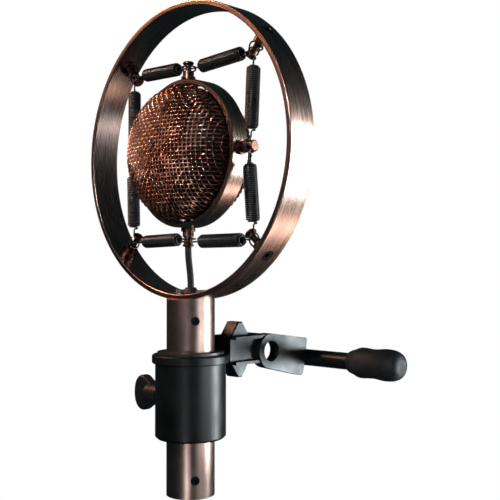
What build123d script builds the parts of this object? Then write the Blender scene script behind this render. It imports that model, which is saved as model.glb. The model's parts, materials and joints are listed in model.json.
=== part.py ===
from build123d import *
import math
import os

# Ring-mounted condenser microphone on a tilting stand clamp. Millimetres, +Z up.
# The origin is the centre of the stem's lower end, where the connector is. The
# microphone's front faces -Y, and the clamp's arm leaves the stem towards +Y.

# Ring and stem
RING_OD = 136.0
RING_DEPTH = 15.0
RING_WALL = 2.5
RING_EDGE = 0.5
STEM_OD = 22.2
STEM_WALL = 1.1
STEM_LENGTH = 87.0
SADDLE_RISE = 2.2
SADDLE_SPIGOT = 11.0
SADDLE_SCREW_SHARE = 0.63
SADDLE_SCREW_OD = 2.4
SADDLE_HEAD_OD = 4.8
SET_SCREW_OD = 4.0
SET_SCREW_DROP = 7.1
SET_SCREW_RISE = 8.5
SET_SCREW_AZIMUTH = -31.0
CABLE_OD = 3.0
CABLE_STRAIGHT = 4.5
GROMMET_OD = 6.0
GROMMET_FLANGE = 8.0

# Ring posts, each held by a countersunk screw from outside the ring
RING_POST_OD = 5.6
RING_POST_HOOK = 7.5
RING_POST_END = 1.4
POST_COLLAR = 1.0
POST_EDGE = 0.5
PIN_OD = 2.8
RING_PIN_SPAN = 6.0
HEAD_PIN_SPAN = 3.2
CABLE_PIN_WALL = 0.5
POST_SCREW_OD = 3.0
POST_SCREW_HEAD = 5.8
POST_SCREW_SINK = 0.15

# Head
HEAD_OD = 68.0
HEAD_BAND = 9.5
HEAD_WALL = 2.4
HEAD_SAG = 1.0
HEAD_Y = -1.6
DOME_RISE = 18.8
DOME_WIRE = 1.4
DOME_SEAT = 1.6
LINER_GAP = 0.3
LINER_WALL = 0.5
HEAD_POST_OD = 5.2
HEAD_POST_BASE = 6.6
HEAD_POST_HOOK = 5.7
HEAD_POST_END = 1.4
HEAD_POST_SKIRT = 1.6
HEAD_POST_SPIGOT = 4.2

# Capsule inside the head
CAPSULE_OD = 34.0
PLATE_DEPTH = 5.0
MEMBRANE = 0.3
CLAMP_RING_WALL = 3.0
CLAMP_RING_DEPTH = 1.4
CRADLE_WALL = 2.6
CRADLE_DEPTH = 7.0
CRADLE_LEG = 6.0
CRADLE_LEG_ANGLE = 30.0
HEAD_BOARD = (22.0, 1.2, 4.6)

# Springs
SPRING_OD = 6.3
SPRING_END = 7.0
SPRING_WIRE = 0.8
HOOK_RADIUS = 3.0
HOOK_GAP = 0.08
HOOK_OFFSET = 0.5

# Electronics and connector inside the stem
CONNECTOR_LENGTH = 20.0
CONNECTOR_WALL = 1.6
CONNECTOR_BASE = 4.5
CONNECTOR_RECESS = 0.6
PIN_CONTACT_OD = 2.4
PIN_CIRCLE = 8.4
CONTACT_SETBACK = 4.4
BOARD_WIDTH = 15.0
BOARD_THICKNESS = 1.6
BOARD_GAP = 4.9
TRANSFORMER_OD = 12.0
TRANSFORMER_SHARE = 0.38

# Stand clamp: sleeve, liner and thumb screw
SLEEVE_WALL = 2.5
SLEEVE_BOTTOM = 26.0
SLEEVE_TOP = 64.2
FLANGE_PROUD = 1.5
FLANGE_HEIGHT = 4.0
LINER_THICKNESS = 2.6
LINER_LIP = 1.2
FIT = 0.05
THUMB_Z = 43.2
THUMB_BOSS_OD = 12.0
THUMB_BOSS_PROUD = 3.7
THUMB_SHANK_OD = 6.0
WING_LENGTH = 19.0
WING_HEIGHT = 17.0
WING_THICKNESS = 5.0
WING_SOCKET = 6.9

# Hinge between the sleeve and the arm
PIVOT_OUT = 12.3
PIVOT_RISE = 0.2
TONGUE_THICKNESS = 8.0
TONGUE_HEIGHT = 26.6
TONGUE_WIDTH = 14.0
TONGUE_FLAT = 3.0
TONGUE_SIDE = 11.0
HINGE_GAP = 0.2
HINGE_BOLT_OD = 6.0
HINGE_HEAD_OD = 9.4
CHEEK_WALL = 2.6
CHEEK_HEIGHT = 13.3
CHEEK_REACH = 9.6
RIB_WALL = 1.4
RIB_PROUD = 2.4
BRIDGE_OUT = 13.8
BRIDGE_WALL = 3.0

# Arm plate, bore for the stand's stud, lock screw and lever
BORE_OUT = 15.7
BORE_DROP = 1.5
BORE_D = 10.3
ARM_DROOP = 10.57
ARM_FACE_X = 10.0
ARM_EYE_OD = 17.1
ARM_END_HEIGHT = 19.2
ARM_LENGTH = 25.7
ARM_BODY_X = 2.0
ARM_BODY_START = 11.5
LOCK_X = 6.2
LOCK_OD = 6.0
LOCK_TIP_OD = 3.4
LEVER_OFFSET = 31.6
ROD_OD = 8.4
ROD_START_X = 1.2
ROD_SETBACK = 6.0
GRIP_START_X = 34.6
GRIP_END_X = 65.0
GRIP_OD = 15.4

RING_R = RING_OD / 2
RING_INNER_R = RING_R - RING_WALL
RING_Z = STEM_LENGTH + SADDLE_RISE + RING_R
HEAD_Z = RING_Z - HEAD_SAG
HEAD_R = HEAD_OD / 2
HEAD_INNER_R = HEAD_R - HEAD_WALL
HALF_BAND = HEAD_BAND / 2
HEAD_HOOK_R = HEAD_R + HEAD_POST_HOOK
CORNER_HOOK = (RING_INNER_R - RING_POST_HOOK) * math.sqrt(0.5)
SPRING_SLOPE = (abs(CORNER_HOOK - HEAD_HOOK_R) + HEAD_SAG) / CORNER_HOOK
HOOK_STAGGER = SPRING_WIRE / 2 + HOOK_RADIUS * SPRING_SLOPE + HOOK_GAP
STEM_R = STEM_OD / 2
STEM_INNER_R = STEM_R - STEM_WALL
SADDLE_SCREW_X = SADDLE_SCREW_SHARE * STEM_R
LINER_R = STEM_R + FIT + LINER_THICKNESS
SLEEVE_R = LINER_R + FIT + SLEEVE_WALL
FLANGE_R = SLEEVE_R + FLANGE_PROUD
THUMB_BOSS_REACH = SLEEVE_R + THUMB_BOSS_PROUD
WING_REACH = THUMB_BOSS_REACH + WING_LENGTH
PIVOT_Y = SLEEVE_R + PIVOT_OUT
PIVOT_Z = SLEEVE_TOP + PIVOT_RISE
BRIDGE_Y = PIVOT_Y + BRIDGE_OUT
BORE_Y = PIVOT_Y + BORE_OUT
BORE_Z = PIVOT_Z - BORE_DROP
BOARD_BOTTOM = CONNECTOR_RECESS + CONNECTOR_LENGTH + 3.5
BOARD_TOP = STEM_LENGTH - SADDLE_SPIGOT - BOARD_GAP
BOARD_LENGTH = BOARD_TOP - BOARD_BOTTOM
POST_ANGLES = {"upper_right": 45, "upper_left": 135, "lower_left": 225, "lower_right": 315}
HEAD_ANGLES = {"right": 0, "top": 90, "left": 180, "bottom": 270}


def save(shape, node):
    export_step(shape, f"parts/{node}.step")


def save_head(shape, node):
    """The head is modelled on the ring's middle plane and hangs a little in front of it."""
    save(Pos(0, HEAD_Y, 0) * shape, node)


def cylinder_y(radius, depth, y=0.0, z=0.0, x=0.0):
    """A cylinder along Y, centred on the point given."""
    return Pos(x, y, z) * Rot(90, 0, 0) * Cylinder(radius, depth)


def cylinder_x(radius, start, end, y=0.0, z=0.0):
    """A cylinder along X from start to end."""
    return Pos((start + end) / 2, y, z) * Rot(0, 90, 0) * Cylinder(radius, end - start)


def cylinder_z(radius, bottom, top, x=0.0, y=0.0):
    """A cylinder along Z from bottom to top."""
    return Pos(x, y, (bottom + top) / 2) * Cylinder(radius, top - bottom)


def radial(centre_z, angle):
    """The frame whose +Z points outward in the XZ plane, at an angle from +X."""
    return Pos(0, 0, centre_z) * Rot(0, 90 - angle, 0)


def spoke(radius, start, end, place):
    """A cylinder along a radial frame's +Z."""
    return place * Pos(0, 0, (start + end) / 2) * Cylinder(radius, end - start)


def ring():
    band = cylinder_y(RING_R, RING_DEPTH, z=RING_Z)
    band -= cylinder_y(RING_INNER_R, RING_DEPTH + 2, z=RING_Z)
    edges = band.edges().filter_by(GeomType.CIRCLE)
    band = fillet(edges, min(RING_EDGE, RING_WALL / 4))
    for angle in POST_ANGLES.values():
        place = radial(RING_Z, angle)
        band -= spoke(POST_SCREW_OD / 2 + FIT, RING_INNER_R - 2, RING_R + 2, place)
        band -= place * Pos(0, 0, RING_R) * Cylinder(POST_SCREW_HEAD / 2 + FIT, 2 * screw_head_depth())
    below = RING_Z - RING_R
    band -= cylinder_z(GROMMET_OD / 2 + FIT, below - 2, below + RING_WALL + 2)
    for side in (-1, 1):
        hole_r = SADDLE_SCREW_OD / 2 + 0.35
        band -= cylinder_z(hole_r, below - 2, below + RING_WALL + 2, x=side * SADDLE_SCREW_X)
    return band


def screw_head_depth():
    return RING_WALL * 0.64


def post_screw_reach():
    """How far a post's screw goes in from the ring, short of the post's neck."""
    return RING_POST_HOOK - RING_PIN_SPAN / 2 - 1.0


def ring_post(angle):
    """A turned post with a narrow neck for the spring hooks near its tip."""
    place = radial(RING_Z, angle)
    hook = RING_INNER_R - RING_POST_HOOK
    neck_out = hook + RING_PIN_SPAN / 2
    neck_in = hook - RING_PIN_SPAN / 2
    post = spoke(RING_POST_OD / 2, neck_out, RING_R, place)
    post += spoke(RING_POST_OD / 2 + POST_COLLAR, RING_INNER_R - 1.6, RING_R, place)
    post &= cylinder_y(RING_INNER_R, RING_DEPTH, z=RING_Z)
    post += spoke(PIN_OD / 2, neck_in - 0.2, neck_out + 0.2, place)
    cap = spoke(RING_POST_OD / 2, neck_in - RING_POST_END, neck_in, place)
    cap = chamfer(cap.edges().filter_by(GeomType.CIRCLE), POST_EDGE)
    post += cap
    return post - spoke(POST_SCREW_OD / 2 + FIT, RING_INNER_R - post_screw_reach() - FIT, RING_R, place)


def ring_post_screw(angle):
    place = radial(RING_Z, angle)
    depth = screw_head_depth()
    screw = spoke(POST_SCREW_OD / 2, RING_INNER_R - post_screw_reach(), RING_R - depth + 0.1, place)
    screw += spoke(POST_SCREW_HEAD / 2, RING_R - depth, RING_R - POST_SCREW_SINK, place)
    socket = place * Pos(0, 0, RING_R - POST_SCREW_SINK) * extrude(RegularPolygon(1.25, 6), amount=-1.1)
    return screw - socket


def saddle():
    """The plug that closes the stem and seats the ring, with a bore for the cable."""
    top = STEM_LENGTH + SADDLE_RISE + 1.2
    body = cylinder_z(STEM_R, STEM_LENGTH, top)
    body += cylinder_z(STEM_INNER_R - FIT, STEM_LENGTH - SADDLE_SPIGOT, STEM_LENGTH + 0.5)
    body -= cylinder_y(RING_R, STEM_OD + 2, z=RING_Z)
    body -= cylinder_z(CABLE_OD / 2 + 0.4, STEM_LENGTH - SADDLE_SPIGOT - 1, top)
    for side in (-1, 1):
        body -= cylinder_z(SADDLE_SCREW_OD / 2 + FIT, STEM_LENGTH - 6, top, x=side * SADDLE_SCREW_X)
    place = set_screw_place(STEM_LENGTH - SET_SCREW_DROP)
    return body - spoke(SET_SCREW_OD / 2 + FIT, STEM_INNER_R - 2.5, STEM_R + 1, place)


def saddle_screws():
    """Two short screws from inside the ring, with heads curved to its wall."""
    floor = RING_Z - RING_INNER_R
    screws = []
    for side in (-1, 1):
        x = side * SADDLE_SCREW_X
        screw = cylinder_z(SADDLE_SCREW_OD / 2, STEM_LENGTH - 5.5, floor + 0.6, x=x)
        head = cylinder_z(SADDLE_HEAD_OD / 2, floor - 1, floor + 2.0, x=x)
        head &= cylinder_y(RING_INNER_R, RING_DEPTH, z=RING_Z)
        socket = Pos(x, 0, floor + 2.0) * extrude(RegularPolygon(1.0, 6), amount=-1.0)
        screws.append(screw + head - socket)
    return screws


def set_screw_place(height):
    """The radial frame of a set screw, +Z outward from the stem's axis."""
    return Pos(0, 0, height) * Rot(0, 0, SET_SCREW_AZIMUTH) * Rot(0, 90, 0)


def stem_tube():
    tube = cylinder_z(STEM_R, 0, STEM_LENGTH)
    tube -= cylinder_z(STEM_INNER_R, -1, STEM_LENGTH + 1)
    for height in (STEM_LENGTH - SET_SCREW_DROP, SET_SCREW_RISE):
        place = set_screw_place(height)
        tube -= spoke(SET_SCREW_OD / 2 + FIT, STEM_INNER_R - 3, STEM_R + 2, place)
    return tube


def stem_set_screws():
    """Socket set screws, a little below the stem's surface so the clamp slides past."""
    screws = []
    reach = {STEM_LENGTH - SET_SCREW_DROP: 2.3, SET_SCREW_RISE: 0.7}
    for height, depth in reach.items():
        place = set_screw_place(height)
        screw = spoke(SET_SCREW_OD / 2, STEM_INNER_R - depth, STEM_R - 0.35, place)
        screw -= place * Pos(0, 0, STEM_R) * extrude(RegularPolygon(1.15, 6), amount=-1.3)
        screws.append(screw)
    return screws


def cable_grommet():
    below = RING_Z - RING_R
    floor = RING_Z - RING_INNER_R
    grommet = cylinder_z(GROMMET_OD / 2, below + 0.1, floor + 1.0)
    grommet += Pos(0, 0, floor + 1.9) * Cone(GROMMET_FLANGE / 2, CABLE_OD / 2 + 0.9, 2.4)
    return grommet - cylinder_z(CABLE_OD / 2, below - 1, floor + 5)


def head_post(angle):
    """A post on the head's band; the lowest one is bored for the cable."""
    place = radial(HEAD_Z, angle)
    hook = HEAD_HOOK_R
    neck_in = hook - HEAD_PIN_SPAN / 2
    neck_out = hook + HEAD_PIN_SPAN / 2
    post = spoke(HEAD_POST_OD / 2, HEAD_INNER_R, neck_in, place)
    post += spoke(HEAD_POST_BASE / 2, HEAD_INNER_R, HEAD_R + HEAD_POST_SKIRT, place)
    post -= cylinder_y(HEAD_R, HEAD_BAND * 2, z=HEAD_Z)
    post += spoke(HEAD_POST_SPIGOT / 2, HEAD_INNER_R - 1.0, HEAD_R + 1, place)
    pin = CABLE_OD / 2 + FIT + CABLE_PIN_WALL if angle == 270 else PIN_OD / 2
    post += spoke(pin, neck_in - 0.2, neck_out + 0.2, place)
    cap = spoke(HEAD_POST_OD / 2, neck_out, neck_out + HEAD_POST_END, place)
    cap = chamfer(cap.edges().filter_by(GeomType.CIRCLE), POST_EDGE)
    post += cap
    if angle == 270:
        post -= spoke(CABLE_OD / 2 + FIT, HEAD_INNER_R - 3, neck_out + 5, place)
    return post


def head_band():
    band = cylinder_y(HEAD_R, HEAD_BAND, z=HEAD_Z)
    band -= cylinder_y(HEAD_INNER_R, HEAD_BAND + 2, z=HEAD_Z)
    band = chamfer(band.edges().filter_by(GeomType.CIRCLE), 0.35)
    for angle in HEAD_ANGLES.values():
        band -= spoke(HEAD_POST_SPIGOT / 2 + 0.01, HEAD_INNER_R - 2, HEAD_R + 2, radial(HEAD_Z, angle))
    return band


def dome(outer_r, rise, wall, seat, side):
    """A revolved elliptical shell with a short straight seat, facing one side along Y."""
    outer = Ellipse(outer_r, rise)
    hollow = Ellipse(outer_r - wall, rise - wall)
    quarter = Pos(outer_r / 2, rise / 2) * Rectangle(outer_r, rise)
    shell = revolve(Pos(0, HALF_BAND) * ((outer - hollow) & quarter), Axis.Y)
    rim = cylinder_y(outer_r, seat, y=HALF_BAND - seat / 2)
    shell += rim - cylinder_y(outer_r - wall, seat + 1, y=HALF_BAND - seat / 2)
    turn = 0 if side > 0 else 180
    return Pos(0, 0, HEAD_Z) * Rot(turn, 0, 0) * shell


def grille(side):
    return dome(HEAD_INNER_R - FIT, DOME_RISE, DOME_WIRE, DOME_SEAT, side)


def mesh_liner(side):
    shrink = DOME_WIRE + LINER_GAP
    return dome(HEAD_INNER_R - FIT - shrink, DOME_RISE - shrink, LINER_WALL, DOME_SEAT, side)


def capsule_plate():
    """The perforated backplate disc that both membranes face."""
    plate = cylinder_y(CAPSULE_OD / 2 - 1.0, PLATE_DEPTH, z=HEAD_Z)
    for ring_r, count in ((4.5, 6), (9.0, 12)):
        for step in range(count):
            turn = math.radians(360 * step / count)
            x = ring_r * math.cos(turn)
            z = HEAD_Z + ring_r * math.sin(turn)
            plate -= cylinder_y(0.9, PLATE_DEPTH + 1, x=x, z=z)
    return plate


def capsule_membrane(side):
    y = side * (PLATE_DEPTH + MEMBRANE) / 2
    return cylinder_y(CAPSULE_OD / 2 - 1.0, MEMBRANE, y=y, z=HEAD_Z)


def capsule_clamp_ring(side):
    y = side * (PLATE_DEPTH / 2 + MEMBRANE + CLAMP_RING_DEPTH / 2)
    clamp = cylinder_y(CAPSULE_OD / 2, CLAMP_RING_DEPTH, y=y, z=HEAD_Z)
    clamp -= cylinder_y(CAPSULE_OD / 2 - CLAMP_RING_WALL, CLAMP_RING_DEPTH + 1, y=y, z=HEAD_Z)
    return clamp


def capsule_screws():
    """Small slotted screws round both clamping rings."""
    face = PLATE_DEPTH / 2 + MEMBRANE + CLAMP_RING_DEPTH
    screw_r = CAPSULE_OD / 2 - CLAMP_RING_WALL / 2
    screws = []
    for side in (-1, 1):
        for step in range(8):
            turn = math.radians(22.5 + 45 * step)
            x = screw_r * math.cos(turn)
            z = HEAD_Z + screw_r * math.sin(turn)
            head = cylinder_y(1.0, 0.6, y=side * (face + 0.3), x=x, z=z)
            slot = Pos(x, side * (face + 0.6), z) * Box(3, 0.5, 0.4)
            screws.append(head - slot)
    return screws


def capsule_cradle():
    """The ring that holds the capsule's rim, on two legs that reach the band."""
    inner = CAPSULE_OD / 2 + FIT
    outer = inner + CRADLE_WALL
    cradle = cylinder_y(outer, CRADLE_DEPTH, z=HEAD_Z)
    for side in (-1, 1):
        place = radial(HEAD_Z, 270 + side * CRADLE_LEG_ANGLE)
        leg = place * Pos(0, 0, (outer + HEAD_INNER_R) / 2)
        cradle += leg * Box(CRADLE_LEG, 4.0, HEAD_INNER_R - outer + 3)
    cradle &= cylinder_y(HEAD_INNER_R - FIT, CRADLE_DEPTH, z=HEAD_Z)
    return cradle - cylinder_y(inner, CRADLE_DEPTH + 1, z=HEAD_Z)


def head_board():
    width, thick, height = HEAD_BOARD
    top = HEAD_Z - CAPSULE_OD / 2 - CRADLE_WALL - 0.6
    y = CABLE_OD / 2 + 0.5 + thick / 2
    return Pos(0, y, top - height / 2) * Box(width, thick, height)


def head_board_parts():
    """A small can transistor and two bead capacitors on the head's board."""
    width, thick, height = HEAD_BOARD
    y = CABLE_OD / 2 + 0.5 + thick
    z = HEAD_Z - CAPSULE_OD / 2 - CRADLE_WALL - 0.6 - height / 2
    can = cylinder_y(1.9, 2.6, y=y + 1.3, z=z)
    beads = [cylinder_y(1.3, 1.8, y=y + 0.9, x=side * width * 0.3, z=z) for side in (-1, 1)]
    return [can] + beads


def head_lead():
    """The cable's inner end, from the lowest post up to the head's board."""
    bottom = HEAD_Z - HEAD_INNER_R + 1.2
    top = HEAD_Z - CAPSULE_OD / 2 - CRADLE_WALL - 1.0
    return cylinder_z(CABLE_OD / 2 - 0.2, bottom, top)


def signal_cable():
    """The short cable from the ring's grommet to the head's lowest post, eased sideways."""
    bottom = RING_Z - RING_R + 0.2
    top = HEAD_Z - HEAD_INNER_R + 1.0
    ease_low = RING_Z - RING_INNER_R + CABLE_STRAIGHT
    ease_high = HEAD_Z - HEAD_HOOK_R - CABLE_STRAIGHT
    upright = ((0, 0, 1), (0, 0, 1))
    path = Spline((0, 0, ease_low), (0, HEAD_Y, ease_high), tangents=upright)
    cable = sweep(Pos(0, 0, ease_low) * Circle(CABLE_OD / 2), path=path)
    cable += cylinder_z(CABLE_OD / 2, bottom, ease_low)
    return cable + cylinder_z(CABLE_OD / 2, ease_high, top, y=HEAD_Y)


def stem_cable():
    """The same cable's run through the saddle to the stem's board."""
    return cylinder_z(CABLE_OD / 2, BOARD_TOP, RING_Z - RING_R + 0.1)


def spring(start, end, normal):
    """A close-wound spring with an eye at each end, between two hook centres."""
    a = Vector(*start)
    b = Vector(*end)
    along = (b - a).normalized()
    length = (b - a).length
    place = Plane(origin=a, x_dir=Vector(*normal), z_dir=along)
    coil = Pos(0, 0, length / 2) * Cylinder(SPRING_OD / 2, length - 2 * SPRING_END)
    coil = fillet(coil.edges().filter_by(GeomType.CIRCLE), SPRING_WIRE)
    wire = SPRING_WIRE / 2
    eye = Rot(0, 90, 0) * Torus(HOOK_RADIUS, wire)
    leg = Cylinder(wire, SPRING_END - HOOK_RADIUS + 1.0)
    leg_z = (SPRING_END + HOOK_RADIUS) / 2 + 0.3
    shape = coil + eye + Pos(0, 0, leg_z) * leg
    shape += Pos(0, 0, length) * eye + Pos(0, 0, length - leg_z) * leg
    return place.location * shape


def hook_points():
    """The centre of each post's neck, in the XZ plane."""
    points = {}
    for name, angle in POST_ANGLES.items():
        reach = RING_INNER_R - RING_POST_HOOK
        turn = math.radians(angle)
        points[name] = (reach * math.cos(turn), RING_Z + reach * math.sin(turn))
    for name, angle in HEAD_ANGLES.items():
        reach = HEAD_HOOK_R
        turn = math.radians(angle)
        points[name] = (reach * math.cos(turn), HEAD_Z + reach * math.sin(turn))
    return points


def springs():
    """Eight springs; the two on a head post are staggered along it."""
    points = hook_points()
    nodes = {}
    for corner in POST_ANGLES:
        level, side = corner.split("_")
        corner_x, corner_z = points[corner]
        flat = "top" if level == "upper" else "bottom"
        flat_x, flat_z = points[flat]
        shift = HOOK_STAGGER if side == "left" else -HOOK_STAGGER
        start = (flat_x, HEAD_Y + HOOK_OFFSET, flat_z + shift)
        end = (corner_x, HOOK_OFFSET, corner_z)
        nodes[f"spring_{flat}_{side}"] = spring(start, end, (0, 0, 1))
        side_x, side_z = points[side]
        shift = HOOK_STAGGER if level == "upper" else -HOOK_STAGGER
        start = (side_x + shift, HEAD_Y - HOOK_OFFSET, side_z)
        end = (corner_x, -HOOK_OFFSET, corner_z)
        nodes[f"spring_{side}_{level}"] = spring(start, end, (1, 0, 0))
    return nodes


def connector_insert():
    """The three-pin output insert: a cup open downwards, with its contact carrier."""
    outer = STEM_INNER_R - FIT
    low = CONNECTOR_RECESS
    high = low + CONNECTOR_LENGTH
    insert = cylinder_z(outer, low, high)
    insert -= cylinder_z(outer - CONNECTOR_WALL, low - 1, high - CONNECTOR_BASE)
    for x, y in contact_points():
        insert -= cylinder_z(PIN_CONTACT_OD / 2, low, high + 1, x=x, y=y)
    place = set_screw_place(SET_SCREW_RISE)
    insert -= spoke(SET_SCREW_OD / 2 + FIT, outer - 0.8, outer + 1, place)
    return insert


def contact_points():
    points = []
    for angle in (30, 150, 270):
        turn = math.radians(angle)
        points.append((PIN_CIRCLE / 2 * math.cos(turn), PIN_CIRCLE / 2 * math.sin(turn)))
    return points


def connector_contacts():
    low = CONNECTOR_RECESS + CONTACT_SETBACK
    high = CONNECTOR_RECESS + CONNECTOR_LENGTH + 2.5
    contacts = []
    for x, y in contact_points():
        pin = cylinder_z(PIN_CONTACT_OD / 2, low, high, x=x, y=y)
        tip = pin.edges().sort_by(Axis.Z)[0]
        contacts.append(fillet(tip, 0.8))
    return contacts


def stem_board():
    return Pos(0, 0, (BOARD_BOTTOM + BOARD_TOP) / 2) * Box(BOARD_WIDTH, BOARD_THICKNESS, BOARD_LENGTH)


def stem_board_parts():
    """Film capacitors, two electrolytic cans and a row of resistors on the board."""
    face = BOARD_THICKNESS / 2
    parts = []
    for row in range(2):
        z = BOARD_BOTTOM + (0.6 + 0.21 * row) * BOARD_LENGTH
        parts.append(Pos(-3.2, -face - 2.0, z) * Box(5.0, 4.0, 0.15 * BOARD_LENGTH))
        parts.append(Pos(3.6, -face - 1.9, z) * Cylinder(1.9, 0.16 * BOARD_LENGTH))
    for row in range(4):
        z = BOARD_BOTTOM + (0.55 + 0.1 * row) * BOARD_LENGTH
        parts.append(Pos(0, face + 0.9, z) * Rot(0, 90, 0) * Cylinder(0.9, 6.0))
    return parts


def output_transformer():
    """The can on the board's lower half, with a flat that seats on the board."""
    face = BOARD_THICKNESS / 2
    centre_y = face + TRANSFORMER_OD / 2 - 2.4
    length = TRANSFORMER_SHARE * BOARD_LENGTH
    z = BOARD_BOTTOM + 4
    can = cylinder_z(TRANSFORMER_OD / 2, z, z + length, y=centre_y)
    half = Pos(0, face + TRANSFORMER_OD, z + length / 2)
    can &= half * Box(TRANSFORMER_OD * 2, TRANSFORMER_OD * 2, length + 2)
    return can & cylinder_z(STEM_INNER_R - 0.1, z - 1, z + length + 1)


def clamp_liner():
    """The plastic bush that the stem slides in and that turns inside the sleeve."""
    inner = STEM_R + FIT
    liner = cylinder_z(LINER_R, SLEEVE_BOTTOM, SLEEVE_TOP + FIT)
    liner += cylinder_z(LINER_R + 1.6, SLEEVE_TOP + FIT, SLEEVE_TOP + FIT + LINER_LIP)
    return liner - cylinder_z(inner, SLEEVE_BOTTOM - 1, SLEEVE_TOP + 5)


def tongue_outline():
    """Half-sizes of the tall octagon: flat top and bottom, long slanted shoulders."""
    half_w = TONGUE_WIDTH / 2
    half_h = TONGUE_HEIGHT / 2
    flat = TONGUE_FLAT / 2
    side = TONGUE_SIDE / 2
    right = [(half_w, -side), (half_w, side), (flat, half_h)]
    left = [(-flat, half_h), (-half_w, side), (-half_w, -side)]
    return right + left + [(-flat, -half_h), (flat, -half_h)]


def clamp_sleeve():
    body = cylinder_z(SLEEVE_R, SLEEVE_BOTTOM, SLEEVE_TOP)
    body = chamfer(body.edges().filter_by(GeomType.CIRCLE).sort_by(Axis.Z)[0], 1.0)
    lip = cylinder_z(FLANGE_R, SLEEVE_TOP - FLANGE_HEIGHT, SLEEVE_TOP)
    body += chamfer(lip.edges().filter_by(GeomType.CIRCLE), 0.5)
    boss = cylinder_x(THUMB_BOSS_OD / 2, -THUMB_BOSS_REACH, 0, z=THUMB_Z)
    body += chamfer(boss.edges().filter_by(GeomType.CIRCLE).sort_by(Axis.X)[0], 0.8)
    place = Plane(origin=(-TONGUE_THICKNESS / 2, PIVOT_Y, PIVOT_Z), x_dir=(0, 1, 0), z_dir=(1, 0, 0))
    outline = make_face(Polyline(*tongue_outline(), close=True))
    tongue = place.location * extrude(outline, amount=TONGUE_THICKNESS)
    edges = tongue.edges().filter_by(Axis.X, reverse=True)
    body += chamfer(edges, 0.5)
    neck_low = PIVOT_Z - TONGUE_SIDE / 2
    neck_high = SLEEVE_TOP
    neck_y = (SLEEVE_R - 3 + PIVOT_Y) / 2
    neck = Pos(0, neck_y, (neck_low + neck_high) / 2)
    body += neck * Box(TONGUE_THICKNESS, PIVOT_Y - SLEEVE_R + 3, neck_high - neck_low)
    body -= cylinder_z(LINER_R + FIT, SLEEVE_BOTTOM - 1, SLEEVE_TOP + 1)
    body -= cylinder_x(HINGE_BOLT_OD / 2 + FIT, -20, 20, y=PIVOT_Y, z=PIVOT_Z)
    return body - cylinder_x(THUMB_SHANK_OD / 2 + FIT, -THUMB_BOSS_REACH - 1, 0, z=THUMB_Z)


def thumb_shank():
    tip = -LINER_R - FIT - 0.1
    shank = cylinder_x(THUMB_SHANK_OD / 2, -THUMB_BOSS_REACH - WING_SOCKET, tip, z=THUMB_Z)
    return chamfer(shank.edges().filter_by(GeomType.CIRCLE).sort_by(Axis.X)[-1], 0.6)


def thumb_wing():
    """The moulded wing: a hub and one flat rounded blade across the screw's axis."""
    start = -THUMB_BOSS_REACH - 0.4
    hub = cylinder_x(5.2, start - 8.5, start, z=THUMB_Z)
    place = Plane(origin=(0, WING_THICKNESS / 2, THUMB_Z), x_dir=(1, 0, 0), z_dir=(0, -1, 0))
    tall = WING_HEIGHT / 2
    root = start - 3.0
    lobe = WING_REACH - tall
    upper = Spline((root, 3.8), (-(lobe + 2.0), tall), (-WING_REACH, 0), tangents=((-1, 0.4), (0, -1)))
    lower = Spline((-WING_REACH, 0), (-(lobe + 2.0), -tall), (root, -3.8), tangents=((0, -1), (1, 0.4)))
    blade = extrude(make_face(Wire([upper, lower, Line((root, -3.8), (root, 3.8))])), amount=WING_THICKNESS)
    blade = fillet(blade.edges().filter_by(Axis.Y, reverse=True), 1.4)
    wing = hub + place.location * blade
    return wing - cylinder_x(THUMB_SHANK_OD / 2, -THUMB_BOSS_REACH - WING_SOCKET, start + 1, z=THUMB_Z)


def arm_place():
    """The frame at the bore's centre: X stays X, and the local Y runs along the arm."""
    return Pos(0, BORE_Y, BORE_Z) * Rot(-ARM_DROOP, 0, 0)


def arm_plate():
    """The flared plate from the bore's eye to the lock screw's end."""
    place = arm_place()
    eye = place * cylinder_x(ARM_EYE_OD / 2, cheek_inner(), ARM_FACE_X)
    half_root = ARM_EYE_OD / 2
    half_end = ARM_END_HEIGHT / 2
    points = [(0, -half_root), (ARM_LENGTH - 0.8, -half_end), (ARM_LENGTH, -half_end + 1.2)]
    points += [(ARM_LENGTH + 0.3, 0), (ARM_LENGTH, half_end - 1.2), (ARM_LENGTH - 0.8, half_end), (0, half_root)]
    face = make_face(Polyline(*points, close=True))
    yz = Plane(origin=(cheek_inner(), 0, 0), x_dir=(0, 1, 0), z_dir=(1, 0, 0))
    plate = place * (yz.location * extrude(face, amount=ARM_FACE_X - cheek_inner()))
    back = [(ARM_BODY_START, -half_root + 1.5), (ARM_LENGTH - 1.2, -half_end + 1.5)]
    back += [(ARM_LENGTH - 1.2, half_end - 1.5), (ARM_BODY_START, half_root - 1.5)]
    thick = extrude(make_face(Polyline(*back, close=True)), amount=cheek_inner() - ARM_BODY_X + 0.1)
    yz_back = Plane(origin=(ARM_BODY_X, 0, 0), x_dir=(0, 1, 0), z_dir=(1, 0, 0))
    return eye + plate + place * (yz_back.location * thick)


def cheek_inner():
    return TONGUE_THICKNESS / 2 + HINGE_GAP


def cheek(side):
    """One ear of the fork, with a rib along its upper and lower edge."""
    inner = cheek_inner()
    start = PIVOT_Y - CHEEK_REACH
    length = BRIDGE_Y + BRIDGE_WALL - start
    centre_y = start + length / 2
    wall = Pos(side * (inner + CHEEK_WALL / 2), centre_y, PIVOT_Z) * Box(CHEEK_WALL, length, CHEEK_HEIGHT)
    lead = wall.edges().filter_by(Axis.X).group_by(Axis.Y)[0]
    ear = chamfer(lead, 1.6)
    for level in (-1, 1):
        z = PIVOT_Z + level * (CHEEK_HEIGHT - RIB_WALL) / 2
        x = side * (inner + CHEEK_WALL + RIB_PROUD / 2 - 0.1)
        rib_length = length - 1.6
        ear += Pos(x, centre_y + 0.8, z) * Box(RIB_PROUD + 0.2, rib_length, RIB_WALL)
    return ear


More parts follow.
